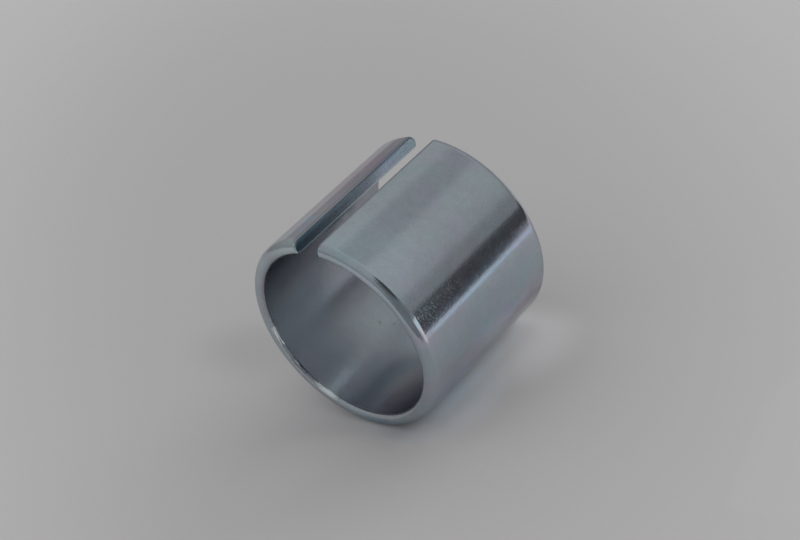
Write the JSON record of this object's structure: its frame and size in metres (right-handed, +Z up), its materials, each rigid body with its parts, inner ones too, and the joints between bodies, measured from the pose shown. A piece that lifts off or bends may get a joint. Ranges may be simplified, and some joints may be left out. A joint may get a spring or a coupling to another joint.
{
  "type": "suspension bushing",
  "caption": "Split sleeve bushing: a zinc-plated steel strip rolled into a C round its bore, with round rims and a slot along its whole length.",
  "frame": {"origin": "middle of the bore, halfway along it", "axes": "+Y along the bore, +Z up as the sleeve lies on its side. The slot is on top, along +Z."},
  "size_m": [0.023, 0.02, 0.0229],
  "materials": {
    "zinc_plated_steel": "bright zinc plating with a blue-white passivate, satin and faintly iridescent"
  },
  "bodies": {
    "root": {"split_sleeve": "zinc_plated_steel"}
  },
  "joints": []
}
